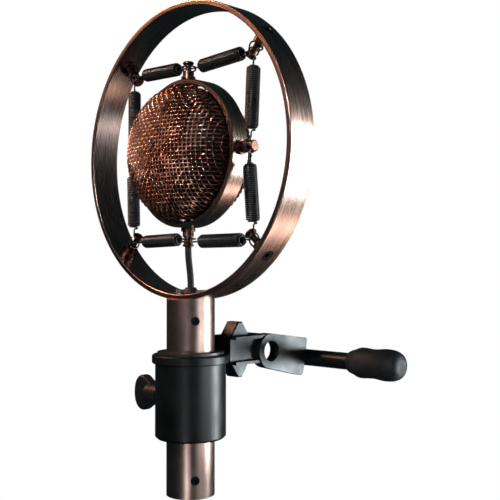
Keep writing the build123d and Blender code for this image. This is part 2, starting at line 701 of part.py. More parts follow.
def swivel_arm():
    """The fork that carries the hinge and the plate that grips the stand's stud."""
    inner = cheek_inner()
    arm = arm_plate() + cheek(1) + cheek(-1)
    bridge_x = (-inner - CHEEK_WALL + ARM_FACE_X - 3) / 2
    bridge_w = inner + CHEEK_WALL + ARM_FACE_X - 3
    bridge = Pos(bridge_x, BRIDGE_Y + BRIDGE_WALL / 2, PIVOT_Z) * Box(bridge_w, BRIDGE_WALL, CHEEK_HEIGHT)
    arm += bridge
    arm -= arm_place() * cylinder_x(BORE_D / 2, inner, 20)
    outer = inner + CHEEK_WALL
    arm -= cylinder_x(HINGE_BOLT_OD / 2 + FIT, -outer - 1, 0, y=PIVOT_Y, z=PIVOT_Z)
    arm -= cylinder_x(HINGE_BOLT_OD / 2, 0, inner + CHEEK_WALL - 0.6, y=PIVOT_Y, z=PIVOT_Z)
    lock = cylinder_y(LOCK_OD / 2 + FIT, ARM_LENGTH, y=ARM_LENGTH / 2 + ARM_BODY_START - 1.5, x=LOCK_X)
    tip = cylinder_y(LOCK_TIP_OD / 2 + FIT, ARM_BODY_START, y=ARM_BODY_START / 2 + 1, x=LOCK_X)
    return arm - arm_place() * (lock + tip)


def hinge_bolt():
    """A shoulder bolt whose threaded end stops inside the near ear."""
    inner = cheek_inner()
    outer = inner + CHEEK_WALL
    bolt = cylinder_x(HINGE_BOLT_OD / 2, -outer - 1.5, outer - 0.7, y=PIVOT_Y, z=PIVOT_Z)
    head = cylinder_x(HINGE_HEAD_OD / 2, -outer - 5.2, -outer - 1.2, y=PIVOT_Y, z=PIVOT_Z)
    head = chamfer(head.edges().filter_by(GeomType.CIRCLE).sort_by(Axis.X)[0], 0.6)
    key = Plane(origin=(-outer - 5.2, PIVOT_Y, PIVOT_Z), z_dir=(1, 0, 0))
    socket = key.location * extrude(RegularPolygon(2.4, 6), amount=2.6)
    return bolt + head - socket


def hinge_washer():
    outer = cheek_inner() + CHEEK_WALL
    washer = cylinder_x(HINGE_HEAD_OD / 2 + 0.3, -outer - 1.2, -outer, y=PIVOT_Y, z=PIVOT_Z)
    return washer - cylinder_x(HINGE_BOLT_OD / 2 + 0.1, -outer - 2, -outer + 1, y=PIVOT_Y, z=PIVOT_Z)


def lock_screw():
    """The screw that presses on the stand's stud, in the arm's own frame."""
    neck = LEVER_OFFSET - ROD_OD / 2 + 1.2
    low = ARM_BODY_START - 1.0
    shank = cylinder_y(LOCK_OD / 2, neck - low, y=(neck + low) / 2, x=LOCK_X)
    tip_low = BORE_D / 2 + 0.4
    shank += cylinder_y(LOCK_TIP_OD / 2, low - tip_low + 0.5, y=(low + tip_low + 0.5) / 2, x=LOCK_X)
    return arm_place() * shank


def lever_place():
    """The lever's own frame: its centre line runs along X through this point."""
    return arm_place() * Pos(0, LEVER_OFFSET, 0)


def lever_rod():
    rod = cylinder_x(ROD_OD / 2, ROD_START_X, GRIP_END_X - ROD_SETBACK)
    rod = chamfer(rod.edges().filter_by(GeomType.CIRCLE), 0.7)
    rod = lever_place() * rod
    neck = LEVER_OFFSET - ROD_OD / 2 + 1.2
    return rod - arm_place() * cylinder_y(LOCK_OD / 2, 8, y=neck - 4, x=LOCK_X)


def lever_grip():
    """The rubber grip: a flared neck, a waist, and a domed end."""
    length = GRIP_END_X - GRIP_START_X
    r = GRIP_OD / 2
    neck = Spline((0, ROD_OD / 2 + 0.4), (3.6, r * 0.82), (7.5, r * 0.975), tangents=((0.6, 1), (1, 0.05)))
    waist = Spline((7.5, r * 0.975), (length * 0.5, r * 0.925), (length - 9.5, r), tangents=((1, 0), (1, 0.05)))
    crown = Spline((length - 9.5, r), (length - 3.0, r * 0.9), (length, r * 0.42), tangents=((1, 0), (0.05, -1)))
    outline = [
        Line((0, 0), (0, ROD_OD / 2 + 0.4)),
        neck,
        waist,
        crown,
        Line((length, r * 0.42), (length, 0)),
        Line((length, 0), (0, 0)),
    ]
    grip = revolve(make_face(Wire(outline)), Axis.X)
    socket = cylinder_x(ROD_OD / 2 + FIT, ROD_START_X, GRIP_END_X - ROD_SETBACK)
    return lever_place() * (Pos(GRIP_START_X, 0, 0) * grip - socket)


def build_frame_body():
    save(ring(), "ring")
    for name, angle in POST_ANGLES.items():
        save(ring_post(angle), f"ring_post_{name}")
    save(Compound([ring_post_screw(angle) for angle in POST_ANGLES.values()]), "ring_post_screws")
    save(saddle(), "saddle")
    save(Compound(saddle_screws()), "saddle_screws")
    save(stem_tube(), "stem_tube")
    save(Compound(stem_set_screws()), "stem_set_screws")
    save(cable_grommet(), "cable_grommet")
    save(signal_cable(), "signal_cable")
    save(stem_cable(), "stem_cable")
    for name, shape in springs().items():
        save(shape, name)


def build_stem_interior():
    save(connector_insert(), "connector_insert")
    save(Compound(connector_contacts()), "connector_contacts")
    save(stem_board(), "stem_board")
    save(Compound(stem_board_parts()), "stem_board_parts")
    save(output_transformer(), "output_transformer")


def build_head_body():
    save_head(head_band(), "head_band")
    for name, angle in HEAD_ANGLES.items():
        save_head(head_post(angle), f"head_post_{name}")
    for name, side in (("front", -1), ("rear", 1)):
        save_head(grille(side), f"{name}_grille")
        save_head(mesh_liner(side), f"{name}_mesh_liner")
        save_head(capsule_membrane(side), f"capsule_membrane_{name}")
        save_head(capsule_clamp_ring(side), f"capsule_clamp_ring_{name}")
    save_head(capsule_plate(), "capsule_backplate")
    save_head(Compound(capsule_screws()), "capsule_screws")
    save_head(capsule_cradle(), "capsule_cradle")
    save_head(head_board(), "head_board")
    save_head(Compound(head_board_parts()), "head_board_parts")
    save_head(head_lead(), "head_lead")


def build_stand_clamp():
    save(clamp_liner(), "clamp_liner")
    save(clamp_sleeve(), "clamp_sleeve")
    save(thumb_shank(), "thumb_screw_shank")
    save(thumb_wing(), "thumb_screw_wing")
    save(swivel_arm(), "swivel_arm")
    save(hinge_bolt(), "hinge_bolt")
    save(hinge_washer(), "hinge_washer")
    save(lock_screw(), "lock_screw")
    save(lever_rod(), "lever_rod")
    save(lever_grip(), "lever_grip")


os.makedirs("parts", exist_ok=True)
build_frame_body()
build_stem_interior()
build_head_body()
build_stand_clamp()
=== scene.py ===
import json
import math

import bpy
import numpy as np
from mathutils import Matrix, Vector


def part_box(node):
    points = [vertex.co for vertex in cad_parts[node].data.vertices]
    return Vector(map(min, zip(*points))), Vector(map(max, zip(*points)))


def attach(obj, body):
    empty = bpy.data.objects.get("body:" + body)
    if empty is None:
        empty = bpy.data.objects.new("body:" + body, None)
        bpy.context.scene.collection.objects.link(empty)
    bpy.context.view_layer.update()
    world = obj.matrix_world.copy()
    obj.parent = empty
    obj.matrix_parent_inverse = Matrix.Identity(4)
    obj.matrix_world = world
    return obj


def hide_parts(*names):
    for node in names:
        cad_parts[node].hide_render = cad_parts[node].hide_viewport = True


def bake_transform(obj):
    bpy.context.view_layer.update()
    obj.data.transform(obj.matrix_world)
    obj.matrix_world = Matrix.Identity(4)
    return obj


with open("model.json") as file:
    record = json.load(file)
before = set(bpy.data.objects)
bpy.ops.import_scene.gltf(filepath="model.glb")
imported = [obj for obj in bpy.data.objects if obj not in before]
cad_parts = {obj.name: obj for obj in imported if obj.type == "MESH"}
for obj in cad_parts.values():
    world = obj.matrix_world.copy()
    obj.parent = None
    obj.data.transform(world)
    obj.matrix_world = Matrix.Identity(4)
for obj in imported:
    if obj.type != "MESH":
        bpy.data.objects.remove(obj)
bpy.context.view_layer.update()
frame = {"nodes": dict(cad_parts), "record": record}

MM = 0.001

# The woven wire: its pitch, its radius, how far each set of wires waves, and the fineness of its tubes.
# The last wire of each set lies at OUTER_WIRE of the dome's radius, and each wire stops just short of the edge
MESH_PITCH = 1.78 * MM
MESH_WIRE = 0.30 * MM
MESH_MARGIN = 1.1 * MESH_WIRE
UPRIGHT_LIFT = 0.40 * MM
LEVEL_LIFT = 0.20 * MM
MESH_SIDES = 6
STEPS_PER_PITCH = 3.4
FEWEST_STEPS = 12
OUTER_WIRE = 0.985
WIRE_REACH = 0.9999

# The springs: radii of the coil, the wire and the eyes, and the length from a hook to the coil. COIL_LAY is
# the coil's pitch over the wire's thickness, and TAPER_SHARE is how much of its radius a coil's end draws in
SPRING_COIL = 2.75 * MM
SPRING_WIRE = 0.40 * MM
SPRING_END = 7.0 * MM
SPRING_SIDES = 7
COIL_LAY = 1.01
COIL_STEPS = 16
COIL_START = 0.25 * math.pi + 0.6
COIL_LEAD = 0.5
SPRING_TAPER = 1.5 * MM
TAPER_SHARE = 0.62
EYE_RADIUS = 3.0 * MM
EYE_START = 28.0
EYE_SWEEP = 302.0
EYE_STEPS = 24
JOIN_STEPS = 4

# Where the springs hook on: distances from the ring's and the head's centre, and how two eyes share a post
EYE_STAGGER = 0.65 * MM
EYE_OFFSET = 0.5 * MM
RING_HOOK = 58.0 * MM
HEAD_HOOK = 39.7 * MM

# The signal cable: its radius, the straight stretch at each end, and the fineness of its tube and its curve
CABLE_RADIUS = 1.5 * MM
CABLE_STRAIGHT = 1.0 * MM
CABLE_SIDES = 24
CABLE_BENDS = 8
CABLE_STEPS = 6

# The camera: its place in ring radii from the ring's centre, its angles in degrees, its lens and sensor in mm
CAMERA_PLACE = (4.297, -3.875, -0.747)
CAMERA_YAW = 43.97
CAMERA_PITCH = 0.825
CAMERA_LENS = 61.2
CAMERA_SENSOR = 36.0

# The room: how bright it is where no light is, and the floor's height, half width and brightness
ROOM_GLOW = 0.03
FLOOR_LEVEL = -0.32
FLOOR_HALF = 0.6
FLOOR_GLOW = 0.80


# ---------------------------------------------------------------- places

def middle(node):
    low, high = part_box(node)
    return (low + high) / 2


def half(node):
    low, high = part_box(node)
    return (high - low) / 2


RING_CENTRE = middle("ring")
RING_R = half("ring").z
HEAD_CENTRE = middle("head_band")
HEAD_BAND = half("head_band").y
DOME_WIDE = half("front_grille").x - UPRIGHT_LIFT - MESH_MARGIN
DOME_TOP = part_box("rear_grille")[1].y
DOME_RISE = DOME_TOP - HEAD_CENTRE.y - HEAD_BAND - UPRIGHT_LIFT - MESH_MARGIN


# ---------------------------------------------------------------- mesh making

def make_object(name, verts, faces, material, smooth=True):
    mesh = bpy.data.meshes.new(name)
    mesh.from_pydata([tuple(v) for v in verts], [], [tuple(f) for f in faces])
    mesh.validate()
    mesh.update()
    if smooth:
        mesh.polygons.foreach_set("use_smooth", [True] * len(mesh.polygons))
    piece = bpy.data.objects.new(name, mesh)
    bpy.context.scene.collection.objects.link(piece)
    mesh.materials.append(material)
    return piece


def tube(path, radius, sides, first_index=0):
    """The vertices and faces of a closed tube along a path of points."""
    path = np.asarray(path, float)
    tangents = np.gradient(path, axis=0)
    tangents /= np.linalg.norm(tangents, axis=1)[:, None]
    side = np.cross(tangents[0], (0.0, 0.0, 1.0))
    if np.linalg.norm(side) < 0.1:
        side = np.cross(tangents[0], (0.0, 1.0, 0.0))
    turns = 2 * np.pi * np.arange(sides) / sides
    verts = []
    for point, tangent in zip(path, tangents):
        side = side - tangent * side.dot(tangent)
        side /= np.linalg.norm(side)
        up = np.cross(tangent, side)
        verts.append(point + radius * (np.outer(np.cos(turns), side) + np.outer(np.sin(turns), up)))
    verts = np.concatenate(verts)
    faces = []
    for row in range(len(path) - 1):
        for k in range(sides):
            a = first_index + row * sides + k
            b = first_index + row * sides + (k + 1) % sides
            faces.append((a, b, b + sides, a + sides))
    last = first_index + (len(path) - 1) * sides
    faces.append(tuple(first_index + k for k in reversed(range(sides))))
    faces.append(tuple(last + k for k in range(sides)))
    return verts, faces


def tubes_object(name, paths, radius, sides, material):
    verts = []
    faces = []
    count = 0
    for path in paths:
        v, f = tube(path, radius, sides, count)
        verts.append(v)
        faces.extend(f)
        count += len(v)
    return make_object(name, np.concatenate(verts), faces, material)


def smooth_path(points, steps):
    """A Catmull-Rom curve through the points."""
    p = np.asarray(points, float)
    p = np.vstack([2 * p[0] - p[1], p, 2 * p[-1] - p[-2]])
    out = []
    for i in range(1, len(p) - 2):
        for step in range(steps):
            t = step / steps
            a = 2 * p[i]
            b = p[i + 1] - p[i - 1]
            c = 2 * p[i - 1] - 5 * p[i] + 4 * p[i + 1] - p[i + 2]
            d = -p[i - 1] + 3 * p[i] - 3 * p[i + 1] + p[i + 2]
            out.append(0.5 * (a + b * t + c * t * t + d * t ** 3))
    out.append(p[-2])
    return np.array(out)


# ---------------------------------------------------------------- materials

# Scales per metre: the brushed copper's streaks, fine across the brushing, its patina, and the gauze's weave
STREAK_SCALES = (45.0, 5200.0, 45.0)
PATINA_SCALES = (26.0, 60.0, 26.0)
GAUZE_FINE = 9000.0


class Shader:
    """A short way to build one node material."""

    def __init__(self, name, **settings):
        self.material = bpy.data.materials.new(name)
        self.material.use_nodes = True
        self.tree = self.material.node_tree
        self.surface = self.tree.nodes["Principled BSDF"]
        for socket, value in settings.items():
            self.surface.inputs[socket.replace("_", " ")].default_value = value

    def node(self, kind, **inputs):
        made = self.tree.nodes.new(kind)
        for key, value in inputs.items():
            socket = made.inputs[key.replace("_", " ")]
            if isinstance(value, bpy.types.NodeSocket):
                self.tree.links.new(value, socket)
            else:
                socket.default_value = value
        return made

    def math(self, operation, a, b=0.0):
        made = self.tree.nodes.new("ShaderNodeMath")
        made.operation = operation
        for index, value in enumerate((a, b)):
            if isinstance(value, bpy.types.NodeSocket):
                self.tree.links.new(value, made.inputs[index])
            else:
                made.inputs[index].default_value = value
        return made.outputs[0]

    def place(self, centre=(0.0, 0.0, 0.0)):
        """The piece's own coordinates, measured from a centre, as three sockets."""
        coords = self.tree.nodes.new("ShaderNodeTexCoord").outputs["Object"]
        moved = self.tree.nodes.new("ShaderNodeVectorMath")
        moved.operation = "SUBTRACT"
        self.tree.links.new(coords, moved.inputs[0])
        moved.inputs[1].default_value = centre
        parts = self.node("ShaderNodeSeparateXYZ", Vector=moved.outputs[0])
        return parts.outputs

    def vector(self, x, y, z):
        return self.node("ShaderNodeCombineXYZ", X=x, Y=y, Z=z).outputs[0]

    def noise(self, vector, scale=1.0, detail=3.0, roughness=0.5):
        settings = {"Scale": scale, "Detail": detail, "Roughness": roughness}
        return self.node("ShaderNodeTexNoise", Vector=vector, **settings).outputs[0]

    def ramp(self, factor, stops):
        made = self.node("ShaderNodeValToRGB", Fac=factor)
        elements = made.color_ramp.elements
        while len(elements) < len(stops):
            elements.new(0.5)
        for element, (position, colour) in zip(elements, stops):
            element.position = position
            element.color = (*colour, 1.0)
        return made.outputs[0]

    def spread(self, factor, low, high, start=0.3, end=0.7):
        """The factor carried from the range start to end, to the range low to high."""
        limits = {"From_Min": start, "From_Max": end, "To_Min": low, "To_Max": high}
        return self.node("ShaderNodeMapRange", Value=factor, **limits).outputs[0]

    def scaled(self, values, factors):
        """Three sockets, each times its factor, as one vector."""
        parts = [self.math("MULTIPLY", value, factor) for value, factor in zip(values, factors)]
        return self.vector(*parts)

    def distance(self, a, b):
        """The distance from an axis, from the two coordinates across it."""
        squares = self.math("ADD", self.math("MULTIPLY", a, a), self.math("MULTIPLY", b, b))
        return self.math("SQRT", squares)

    def link(self, value, socket):
        self.tree.links.new(value, self.surface.inputs[socket])

    def bump(self, height, strength, distance):
        made = self.node("ShaderNodeBump", Height=height, Strength=strength, Distance=distance)
        self.link(made.outputs[0], "Normal")


def shaded(colour, factor):
    return tuple(factor * part for part in colour)


def brushed_copper(name, centre, axis, rough=0.24, grain=0.16, pull=0.3, veil=0.45):
    """Antiqued copper, brushed round an axis: fine streaks, dark patina and bright rubbed bands."""
    made = Shader(name, Metallic=1.0, Anisotropic=pull)
    x, y, z = made.place(centre)
    if axis == "Y":
        across = y
        round_axis = (x, z)
    else:
        across = z
        round_axis = (x, y)
    lines = made.math("ADD", across, made.distance(*round_axis))
    streaks = made.noise(made.scaled((round_axis[0], lines, round_axis[1]), STREAK_SCALES), 1.0, 5.0, 0.62)
    clouds = made.noise(made.scaled((x, y, z), PATINA_SCALES), 1.0, 4.0, 0.6)
    streak_share = made.math("MULTIPLY", streaks, veil)
    cloud_share = made.math("MULTIPLY", clouds, 1.0 - veil)
    colour = made.ramp(made.math("ADD", streak_share, cloud_share), [
        (0.30, (0.150, 0.105, 0.092)),
        (0.46, (0.270, 0.185, 0.158)),
        (0.60, (0.400, 0.280, 0.238)),
        (0.75, (0.540, 0.400, 0.345)),
    ])
    made.link(colour, "Base Color")
    made.link(made.spread(streaks, rough - veil * 0.14, rough + veil * 0.22), "Roughness")
    tangent = made.tree.nodes.new("ShaderNodeTangent")
    tangent.direction_type = "RADIAL"
    tangent.axis = axis
    made.link(tangent.outputs[0], "Tangent")
    made.bump(streaks, grain, 0.00005)
    return made.material


def turned_copper(name):
    """Small turned copper posts: darker, with patina in spots."""
    made = Shader(name, Metallic=1.0)
    x, y, z = made.place()
    spots = made.noise(made.vector(x, y, z), 420.0, 4.0, 0.6)
    made.link(made.ramp(spots, [
        (0.35, (0.04, 0.024, 0.020)),
        (0.55, (0.13, 0.070, 0.050)),
        (0.72, (0.30, 0.170, 0.130)),
    ]), "Base Color")
    made.link(made.spread(spots, 0.2, 0.42), "Roughness")
    made.bump(spots, 0.15, 0.00005)
    return made.material


def woven_wire(name):
    """Bronze wire of the grille: warm copper to dark brown in broad random clouds."""
    made = Shader(name, Metallic=1.0)
    x, y, z = made.place()
    flat = made.vector(x, y, z)
    clouds = made.noise(flat, 60.0, 3.0, 0.55)
    made.link(made.ramp(clouds, [
        (0.30, (0.15, 0.066, 0.046)),
        (0.50, (0.33, 0.160, 0.115)),
        (0.70, (0.52, 0.300, 0.225)),
    ]), "Base Color")
    made.link(made.spread(clouds, 0.22, 0.32), "Roughness")
    return made.material


def fine_gauze(name):
    """The dark inner gauze: a weave too fine to model as wires."""
    made = Shader(name, Metallic=0.6, Roughness=0.7)
    x, y, z = made.place()
    warp = made.math("SINE", made.math("MULTIPLY", x, GAUZE_FINE))
    weft = made.math("SINE", made.math("MULTIPLY", z, GAUZE_FINE))
    weave = made.math("MULTIPLY", warp, weft)
    made.link(made.ramp(made.spread(weave, 0.0, 1.0, -1.0, 1.0), [
        (0.2, (0.004, 0.003, 0.003)),
        (0.9, (0.030, 0.020, 0.016)),
    ]), "Base Color")
    made.bump(weave, 0.6, 0.0001)
    return made.material


def satin_black(name):
    """Coated black metal: fine orange-peel and faint handling marks."""
    made = Shader(name, Metallic=0.0, IOR=1.5, Specular_IOR_Level=0.32)
    x, y, z = made.place()
    flat = made.vector(x, y, z)
    peel = made.noise(flat, 2200.0, 3.0, 0.5)
    marks = made.noise(flat, 70.0, 4.0, 0.65)
    colour = (0.0035, 0.0050, 0.0055)
    low = shaded(colour, 0.75)
    high = shaded(colour, 1.9)
    made.link(made.ramp(marks, [(0.35, low), (0.7, high)]), "Base Color")
    made.link(made.spread(marks, 0.31, 0.46), "Roughness")
    made.bump(peel, 0.12, 0.00008)
    return made.material


def spring_black(name):
    """Black-oxided spring wire with a slight oil gloss."""
    made = Shader(name, Metallic=0.25, IOR=1.5)
    x, y, z = made.place()
    spots = made.noise(made.vector(x, y, z), 160.0, 2.0, 0.5)
    low = (0.007, 0.008, 0.009)
    high = (0.018, 0.019, 0.022)
    made.link(made.ramp(spots, [(0.35, low), (0.7, high)]), "Base Color")
    made.link(made.spread(spots, 0.26, 0.36), "Roughness")
    return made.material


def rubber(name, grain=900.0, strength=0.5, rough=0.55, colour=(0.011, 0.012, 0.013)):
    """Matt rubber with a pebbled skin and a little dust."""
    made = Shader(name, Metallic=0.0, Specular_IOR_Level=0.3)
    x, y, z = made.place()
    flat = made.vector(x, y, z)
    pebbles = made.noise(flat, grain, 2.0, 0.5)
    dust = made.noise(flat, 160.0, 4.0, 0.6)
    made.link(made.ramp(dust, [(0.35, colour), (0.75, shaded(colour, 2.2))]), "Base Color")
    made.link(made.spread(dust, rough - 0.06, rough + 0.12), "Roughness")
    made.bump(pebbles, strength, 0.0002)
    return made.material


def bright_metal(name, colour, rough=0.22):
    """Plain machined metal with fine tool marks."""
    made = Shader(name, Metallic=1.0)
    x, y, z = made.place()
    marks = made.noise(made.vector(x, y, z), 2400.0, 3.0, 0.6)
    made.link(made.ramp(marks, [(0.3, shaded(colour, 0.7)), (0.7, colour)]), "Base Color")
    made.link(made.spread(marks, rough - 0.06, rough + 0.1), "Roughness")
    made.bump(marks, 0.1, 0.00004)
    return made.material


def moulded(name, colour, rough=0.45, grain=1800.0):
    """Moulded plastic with a fine spark-eroded grain."""
    made = Shader(name, Metallic=0.0)
    x, y, z = made.place()
    flat = made.vector(x, y, z)
    grains = made.noise(flat, grain, 2.0, 0.5)
    broad = made.noise(flat, 90.0, 3.0, 0.6)
    low = shaded(colour, 0.8)
    high = shaded(colour, 1.2)
    made.link(made.ramp(broad, [(0.3, low), (0.7, high)]), "Base Color")
    made.link(made.spread(grains, rough - 0.08, rough + 0.1), "Roughness")
    made.bump(grains, 0.25, 0.00008)
    return made.material


def circuit_laminate(name):
    """Green solder mask with a pattern of paler traces under it."""
    made = Shader(name, Metallic=0.0, Roughness=0.35)
    x, y, z = made.place()
    cells = made.tree.nodes.new("ShaderNodeTexVoronoi")
    cells.distance = "MANHATTAN"
    cells.feature = "F1"
    made.tree.links.new(made.vector(x, y, z), cells.inputs["Vector"])
    cells.inputs["Scale"].default_value = 420.0
    made.link(made.ramp(cells.outputs["Distance"], [
        (0.35, (0.010, 0.085, 0.040)),
        (0.50, (0.030, 0.190, 0.090)),
    ]), "Base Color")
    return made.material


def make_materials():
    ring_centre = tuple(RING_CENTRE)
    head_centre = tuple(HEAD_CENTRE)
    stem_centre = (0.0, 0.0, 0.0)
    return {
        "ring_copper": brushed_copper("ring_copper", ring_centre, "Y"),
        "band_copper": brushed_copper("band_copper", head_centre, "Y"),
        "stem_copper": brushed_copper("stem_copper", stem_centre, "Z", 0.34, 0.004, 0.1, 0.0),
        "copper_posts": turned_copper("copper_posts"),
        "copper_mesh": woven_wire("copper_mesh"),
        "fine_mesh": fine_gauze("fine_mesh"),
        "black_paint": satin_black("satin_black"),
        "blackened_screws": bright_metal("blackened_screws", (0.035, 0.035, 0.038), 0.3),
        "blackened_springs": spring_black("blackened_springs"),
        "steel_fasteners": bright_metal("steel_fasteners", (0.74, 0.75, 0.77)),
        "rubber_grommet": rubber("rubber_grommet", 1400.0, 0.2),
        "cable_jacket": rubber("cable_jacket", 1600.0, 0.12, 0.5, (0.004, 0.004, 0.005)),
        "rubber_grip": rubber("rubber_grip"),
        "gold_membrane": bright_metal("gold_membrane", (0.86, 0.66, 0.30), 0.16),
        "gold_contacts": bright_metal("gold_contacts", (0.84, 0.64, 0.28), 0.2),
        "capsule_brass": bright_metal("capsule_brass", (0.72, 0.56, 0.30), 0.26),
        "capsule_plastic": moulded("capsule_plastic", (0.022, 0.022, 0.025)),
        "liner_plastic": moulded("liner_plastic", (0.016, 0.017, 0.018), 0.4),
        "moulded_wing": moulded("moulded_wing", (0.012, 0.012, 0.013), 0.42, 1200.0),
        "board_laminate": circuit_laminate("board_laminate"),
        "board_components": moulded("board_components", (0.16, 0.07, 0.03), 0.35),
        "transformer_can": bright_metal("transformer_can", (0.56, 0.57, 0.60), 0.3),
    }


MATERIALS = make_materials()
# The brushed pieces, whose streaks run round their own axes; the others wear their slot's material
BRUSHED = {
    "ring": "ring_copper",
    "head_band": "band_copper",
    "stem_tube": "stem_copper",
    "saddle": "stem_copper",
}


def dress_cad_nodes():
    """Gives every CAD node its material."""
    slots = {s["node"]: s["material_slot"] for s in frame["record"]["subparts"]}
    for name, node in frame["nodes"].items():
        node.data.materials.clear()
        node.data.materials.append(MATERIALS[BRUSHED.get(name, slots[name])])


# ---------------------------------------------------------------- woven grilles

def dome_points(x, z, side, lift):
    """Points on a dome's middle surface, lifted along its normals; x and z from its axis."""
    wide = DOME_WIDE
    rise = DOME_RISE
    share = np.maximum(0.0, 1.0 - (x * x + z * z) / (wide * wide))
    y = rise * np.sqrt(share)
    normals = np.stack((x / wide ** 2, y / rise ** 2, z / wide ** 2), axis=1)
    normals /= np.linalg.norm(normals, axis=1)[:, None]
    points = np.stack((x, y, z), axis=1) + lift[:, None] * normals
    points[:, 1] = side * (HEAD_BAND + points[:, 1])
    return points + np.array((HEAD_CENTRE.x, HEAD_CENTRE.y, HEAD_CENTRE.z))


def woven_wires(side):
    """The two sets of wires of one dome, each passing over and under the other."""
    count = int(OUTER_WIRE * DOME_WIDE / MESH_PITCH)
    paths = []
    for upright in (True, False):
        for index in range(-count, count + 1):
            fixed = index * MESH_PITCH
            reach = math.sqrt(DOME_WIDE ** 2 - fixed ** 2)
            steps = max(FEWEST_STEPS, int(STEPS_PER_PITCH * math.pi * reach / MESH_PITCH))
            run = reach * WIRE_REACH * np.sin(math.pi * (np.arange(steps + 1) / steps - 0.5))
            lift = np.cos(math.pi * (run / MESH_PITCH + index))
            across = np.full_like(run, fixed)
            if upright:
                path = dome_points(across, run, side, UPRIGHT_LIFT * lift)
            else:
                path = dome_points(run, across, side, -LEVEL_LIFT * lift)
            paths.append(path)
    return paths


def make_grilles():
    for name, side in (("front", -1), ("rear", 1)):
        wires = woven_wires(side)
        piece = tubes_object(f"{name}_woven_grille", wires, MESH_WIRE, MESH_SIDES, MATERIALS["copper_mesh"])
        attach(piece, "head")
        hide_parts(f"{name}_grille")


# ---------------------------------------------------------------- springs

def spring_eye():
    """One eye, and the wire that leads from it to the coil, along local Z."""
    points = []
    for step in range(EYE_STEPS + 1):
        turn = math.radians(EYE_START + EYE_SWEEP * step / EYE_STEPS)
        points.append((0.0, EYE_RADIUS * math.sin(turn), EYE_RADIUS * math.cos(turn)))
    points.append((0.0, -0.5 * MM, EYE_RADIUS + 0.35 * MM))
    points.append((0.0, 0.0, EYE_RADIUS + 1.1 * MM))
    points.append((0.05 * MM, 0.25 * MM, SPRING_END - 0.55 * MM))
    points.append((1.2 * MM, 1.1 * MM, SPRING_END - 0.15 * MM))
    return np.array(points)


def spring_coil(body):
    """The close-wound coil, drawn in at both ends."""
    run = body - 2 * SPRING_WIRE
    turns = run / (2 * SPRING_WIRE * COIL_LAY)
    count = int(turns * COIL_STEPS)
    points = []
    for step in range(count + 1):
        turn = 2 * math.pi * turns * step / count + COIL_START
        z = SPRING_END + SPRING_WIRE + run * step / count
        inset = min(z - SPRING_END, SPRING_END + body - z) - SPRING_WIRE
        drawn_in = TAPER_SHARE * max(0.0, 1.0 - inset / SPRING_TAPER) ** 2
        radius = SPRING_COIL * (1.0 - drawn_in)
        points.append((radius * math.sin(turn), radius * math.cos(turn), z))
    return np.array(points)


def turned(points, angle):
    """Points turned round local Z."""
    x = points[:, 0]
    y = points[:, 1]
    new_x = x * math.cos(angle) + y * math.sin(angle)
    new_y = y * math.cos(angle) - x * math.sin(angle)
    return np.stack((new_x, new_y, points[:, 2]), axis=1)


def spring_path(length):
    """One spring along local Z: an eye, a close-wound coil, and an eye, from hook to hook."""
    near = spring_eye()
    coil = spring_coil(length - 2 * SPRING_END)
    far = near[::-1].copy()
    far[:, 2] = length - far[:, 2]
    # The far lead starts where the coil stops, wherever its last turn ends
    coil_end = math.atan2(coil[-1][0], coil[-1][1])
    lead_end = math.atan2(near[-1][0], near[-1][1])
    far[:2] = turned(far[:2], coil_end - COIL_LEAD - lead_end)
    lead = len(near) - EYE_STEPS + 1
    opening = smooth_path(np.vstack([near[EYE_STEPS:], coil[:1]]), JOIN_STEPS)
    closing = smooth_path(np.vstack([coil[-1:], far[:lead]]), JOIN_STEPS)
    return np.vstack([near[:EYE_STEPS], opening[:-1], coil[1:-1], closing, far[lead:]])


def placed(path, start, end, normal):
    """Carries a path from local Z to the line from start to end."""
    start = np.asarray(start)
    along = np.asarray(end) - start
    along /= np.linalg.norm(along)
    across = np.asarray(normal, float)
    across -= along * across.dot(along)
    across /= np.linalg.norm(across)
    third = np.cross(along, across)
    return start + path[:, :1] * across + path[:, 1:2] * third + path[:, 2:] * along


def make_spring(name, start, end, normal):
    start = np.asarray(start)
    reach = np.asarray(end) - start
    length = float(np.linalg.norm(reach))
    path = placed(spring_path(length), start, end, normal)
    piece = tubes_object(name + "_coil", [path], SPRING_WIRE, SPRING_SIDES, MATERIALS["blackened_springs"])
    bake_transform(piece)
    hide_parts(name)


def make_springs():
    diagonal = RING_HOOK / math.sqrt(2)
    for level, up in (("upper", 1), ("lower", -1)):
        flat = "top" if up > 0 else "bottom"
        for side, right in (("right", 1), ("left", -1)):
            corner_x = right * diagonal
            corner_z = RING_CENTRE.z + up * diagonal
            post_z = HEAD_CENTRE.z + up * HEAD_HOOK - right * EYE_STAGGER
            start = (0.0, HEAD_CENTRE.y + EYE_OFFSET, post_z)
            make_spring(f"spring_{flat}_{side}", start, (corner_x, EYE_OFFSET, corner_z), (0, 0, 1))
            start = (right * HEAD_HOOK + up * EYE_STAGGER, HEAD_CENTRE.y - EYE_OFFSET, HEAD_CENTRE.z)
            make_spring(f"spring_{side}_{level}", start, (corner_x, -EYE_OFFSET, corner_z), (1, 0, 0))


# ---------------------------------------------------------------- cable

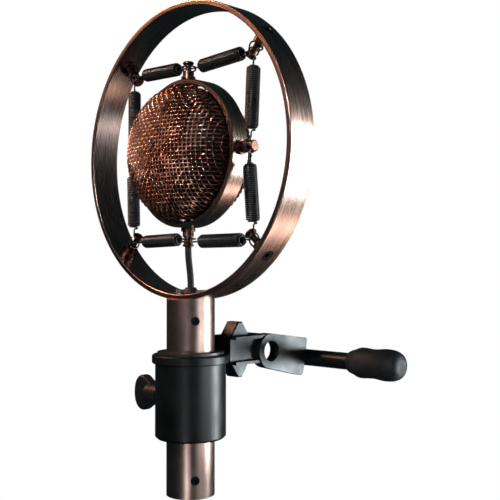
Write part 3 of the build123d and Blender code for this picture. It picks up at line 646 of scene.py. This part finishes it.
def make_cable():
    """The short signal cable, eased sideways between the grommet and the head's lowest post."""
    low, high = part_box("signal_cable")
    post_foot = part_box("head_post_bottom")[0].z
    grommet_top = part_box("cable_grommet")[1].z
    lean = HEAD_CENTRE.y
    start = grommet_top + CABLE_STRAIGHT
    rise = post_foot - CABLE_STRAIGHT - start
    points = [(0.0, 0.0, low.z), (0.0, 0.0, start)]
    for step in range(1, CABLE_BENDS):
        share = step / CABLE_BENDS
        ease = share * share * (3 - 2 * share)
        points.append((0.0, lean * ease, start + rise * share))
    points += [(0.0, lean, start + rise), (0.0, lean, high.z)]
    path = smooth_path(points, CABLE_STEPS)
    piece = tubes_object("eased_signal_cable", [path], CABLE_RADIUS, CABLE_SIDES, MATERIALS["cable_jacket"])
    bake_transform(piece)
    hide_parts("signal_cable")


# ---------------------------------------------------------------- stage

def make_floor():
    """A plain pale floor, well below the microphone, which its stand would hold up. It lights nothing."""
    material = bpy.data.materials.new("pale_floor")
    material.use_nodes = True
    surface = material.node_tree.nodes["Principled BSDF"]
    surface.inputs["Base Color"].default_value = (0.9, 0.9, 0.9, 1.0)
    surface.inputs["Roughness"].default_value = 0.9
    surface.inputs["Emission Color"].default_value = (1.0, 1.0, 1.0, 1.0)
    surface.inputs["Emission Strength"].default_value = FLOOR_GLOW
    corners = ((-1, -1), (1, -1), (1, 1), (-1, 1))
    verts = [(x * FLOOR_HALF, y * FLOOR_HALF, FLOOR_LEVEL) for x, y in corners]
    floor = make_object("floor", verts, [(0, 1, 2, 3)], material, smooth=False)
    floor.visible_diffuse = False
    floor.visible_glossy = False


def make_world():
    """White behind the object, and a dark room for what its surfaces reflect."""
    world = bpy.data.worlds.new("studio")
    bpy.context.scene.world = world
    world.use_nodes = True
    tree = world.node_tree
    background = tree.nodes["Background"]
    background.inputs["Color"].default_value = (0.45, 0.84, 1.0, 1.0)
    background.inputs["Strength"].default_value = ROOM_GLOW
    white = tree.nodes.new("ShaderNodeBackground")
    white.inputs["Color"].default_value = (1.0, 1.0, 1.0, 1.0)
    white.inputs["Strength"].default_value = 1.0
    rays = tree.nodes.new("ShaderNodeLightPath")
    mix = tree.nodes.new("ShaderNodeMixShader")
    tree.links.new(rays.outputs["Is Camera Ray"], mix.inputs["Fac"])
    tree.links.new(background.outputs[0], mix.inputs[1])
    tree.links.new(white.outputs[0], mix.inputs[2])
    tree.links.new(mix.outputs[0], tree.nodes["World Output"].inputs["Surface"])


def area_light(name, place, target, size, watts, colour, spread):
    data = bpy.data.lights.new(name, "AREA")
    data.shape = "RECTANGLE"
    data.size = size[0]
    data.size_y = size[1]
    data.energy = watts
    data.color = colour
    data.spread = math.radians(spread)
    light = bpy.data.objects.new(name, data)
    bpy.context.scene.collection.objects.link(light)
    light.location = place
    light.rotation_euler = (target - place).to_track_quat("-Z", "Y").to_euler()


def make_lights():
    centre = RING_CENTRE
    # A cool softbox close behind on the right, turned so that only the right flanks mirror it
    rim = centre + Vector((0.235, 0.165, -0.035))
    area_light("rim_softbox", rim, rim + Vector((-0.50, -0.87, 0.0)),
               size=(0.08, 0.18), watts=0.20, colour=(0.93, 0.975, 1.0), spread=46.0)
    # A panel on the right at the clamp's height, and one behind it that the arm's face mirrors
    area_light("right_panel", centre + Vector((0.36, 0.05, -0.13)), centre + Vector((0.0, 0.02, -0.13)),
               size=(0.20, 0.10), watts=0.05, colour=(0.90, 0.97, 1.0), spread=60.0)
    area_light("arm_panel", centre + Vector((0.21, 0.26, -0.145)), centre + Vector((0.01, 0.055, -0.10)),
               size=(0.20, 0.10), watts=0.085, colour=(0.86, 0.96, 1.0), spread=26.0)
    # A soft key low beside the camera, and a small front fill on the head
    area_light("key_strip", centre + Vector((0.30, -0.52, -0.31)), centre + Vector((0.0, 0.0, -0.16)),
               size=(0.09, 0.16), watts=0.035, colour=(0.97, 0.98, 1.0), spread=50.0)
    area_light("front_fill", centre + Vector((0.16, -0.60, 0.24)), HEAD_CENTRE,
               size=(0.05, 0.05), watts=0.08, colour=(1.0, 0.95, 0.93), spread=22.0)
    # A warm spot high on the left, and a low warm bounce behind
    area_light("warm_left", centre + Vector((-0.40, -0.30, 0.34)), HEAD_CENTRE,
               size=(0.08, 0.08), watts=0.11, colour=(1.0, 0.48, 0.28), spread=28.0)
    area_light("low_bounce", centre + Vector((0.20, 0.24, -0.30)), centre + Vector((0.09, 0.0, -0.06)),
               size=(0.10, 0.16), watts=0.022, colour=(1.0, 0.80, 0.70), spread=34.0)


def make_camera():
    data = bpy.data.cameras.new("camera")
    camera = bpy.data.objects.new("camera", data)
    bpy.context.scene.collection.objects.link(camera)
    data.lens = CAMERA_LENS
    data.sensor_width = CAMERA_SENSOR
    data.clip_start = 0.01
    camera.location = RING_CENTRE + Vector(CAMERA_PLACE) * RING_R
    yaw = math.radians(CAMERA_YAW)
    pitch = math.radians(CAMERA_PITCH)
    ahead = Vector((-math.sin(yaw) * math.cos(pitch), math.cos(yaw) * math.cos(pitch), math.sin(pitch)))
    camera.rotation_euler = ahead.to_track_quat("-Z", "Y").to_euler()
    bpy.context.scene.camera = camera


def set_colour_management():
    view = bpy.context.scene.view_settings
    view.view_transform = "Standard"
    view.look = "None"


make_camera()
make_lights()
make_world()
make_floor()
set_colour_management()
dress_cad_nodes()
make_grilles()
make_springs()
make_cable()
